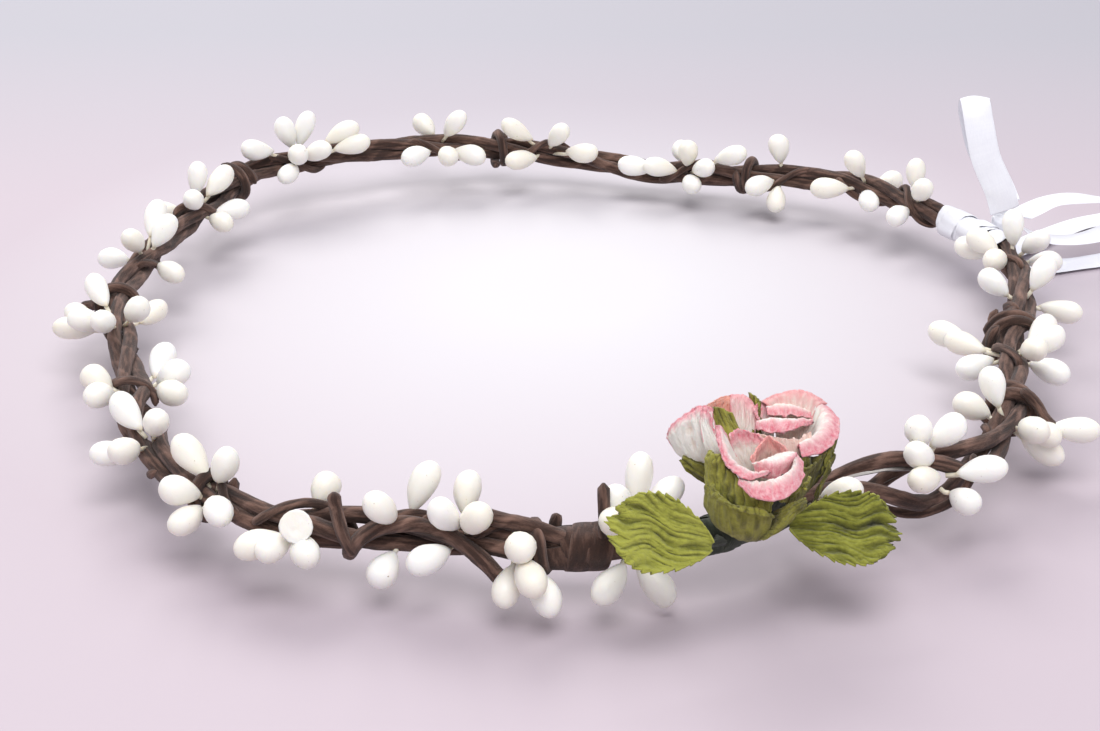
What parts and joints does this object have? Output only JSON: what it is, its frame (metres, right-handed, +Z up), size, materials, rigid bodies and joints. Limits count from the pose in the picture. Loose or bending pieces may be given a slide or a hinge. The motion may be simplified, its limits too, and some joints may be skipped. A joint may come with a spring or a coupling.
{
  "type": "flower crown",
  "caption": "Open wire-vine hair crown with cream berry sprays, paper roses and leaves at the front, and a satin ribbon tie.",
  "frame": {"origin": "centre of the vine hoop, where the crown of the head comes, in the plane of the hoop", "axes": "+Z up, away from the wearer's shoulders; -Y to the front, where the roses are; +X to the side of the ribbon tie"},
  "size_m": [0.2531, 0.2036, 0.0389],
  "materials": {
    "vine_paper": "crinkled brown crepe paper, matte",
    "iron_wire": "bare drawn wire",
    "berry_foam": "cream coated foam with a soft sheen",
    "petal_paper": "crinkled mulberry paper, cream with coral pink edges",
    "leaf_paper": "embossed olive mulberry paper",
    "brown_tape": "stretched brown paper tape",
    "green_tape": "dark green waxed floral tape",
    "satin_ribbon": "white satin"
  },
  "bodies": {
    "vine": {"joining_tape": "brown_tape", "long_spray_01": "berry_foam", "long_spray_02": "berry_foam", "long_spray_03": "berry_foam", "long_spray_04": "berry_foam", "long_spray_05": "berry_foam", "long_spray_06": "berry_foam", "long_spray_07": "berry_foam", "long_spray_08": "berry_foam", "long_spray_09": "berry_foam", "long_spray_10": "berry_foam", "long_spray_11": "berry_foam", "long_spray_12": "berry_foam", "long_spray_13": "berry_foam", "long_spray_14": "berry_foam", "long_spray_15": "berry_foam", "long_spray_16": "berry_foam", "long_spray_17": "berry_foam", "long_strand_1": "vine_paper", "long_strand_2": "vine_paper", "long_strand_3": "vine_paper", "long_wire_1": "iron_wire", "long_wire_2": "iron_wire", "long_wire_3": "iron_wire", "ribbon_band_left": "satin_ribbon", "ribbon_knot": "satin_ribbon", "ribbon_loop_side": "satin_ribbon", "ribbon_loop_up": "satin_ribbon", "ribbon_tail_back": "satin_ribbon", "ribbon_tail_front": "satin_ribbon"},
    "right_run": {"floral_tape": "green_tape", "ribbon_band_right": "satin_ribbon", "short_spray_01": "berry_foam", "short_spray_02": "berry_foam", "short_spray_03": "berry_foam", "short_spray_04": "berry_foam", "short_spray_05": "berry_foam", "short_spray_06": "berry_foam", "short_spray_07": "berry_foam", "short_strand_1": "vine_paper", "short_strand_2": "vine_paper", "short_strand_3": "vine_paper", "short_wire_1": "iron_wire", "short_wire_2": "iron_wire", "short_wire_3": "iron_wire"},
    "rose_left": {"rose_left_calyx": "leaf_paper", "rose_left_heart": "petal_paper", "rose_left_petals": "petal_paper"},
    "rose_front": {"rose_front_calyx": "leaf_paper", "rose_front_heart": "petal_paper", "rose_front_petals": "petal_paper", "rose_front_sepals": "leaf_paper"},
    "rose_right": {"rose_right_calyx": "leaf_paper", "rose_right_heart": "petal_paper", "rose_right_petals": "petal_paper"},
    "leaf_left": {"leaf_left_blade": "leaf_paper", "leaf_left_wire": "green_tape"},
    "leaf_right": {"leaf_right_blade": "leaf_paper", "leaf_right_wire": "green_tape"}
  },
  "joints": [
    {"name": "vine_flex", "type": "hinge", "parent": "vine", "child": "right_run", "pos_m": [0.00258, -0.09244, 0], "axis": [0, 0, -1], "range_deg": [0, 8]},
    {"name": "rose_left_bend", "type": "hinge", "parent": "right_run", "child": "rose_left", "pos_m": [0.02603, -0.08731, 0.00575], "axis": [0, -1, 0], "range_deg": [0, 15]},
    {"name": "rose_front_bend", "type": "hinge", "parent": "right_run", "child": "rose_front", "pos_m": [0.02988, -0.09035, 0.00338], "axis": [1, 0, 0], "range_deg": [0, 15]},
    {"name": "rose_right_bend", "type": "hinge", "parent": "right_run", "child": "rose_right", "pos_m": [0.03385, -0.0855, 0.00498], "axis": [0, 1, 0], "range_deg": [0, 15]},
    {"name": "leaf_left_bend", "type": "hinge", "parent": "right_run", "child": "leaf_left", "pos_m": [0.02478, -0.09379, 0.00178], "axis": [0, 1, 0], "range_deg": [0, 20]},
    {"name": "leaf_right_bend", "type": "hinge", "parent": "right_run", "child": "leaf_right", "pos_m": [0.03757, -0.086, 0.0012], "axis": [0, -1, 0], "range_deg": [-10, 20]}
  ]
}
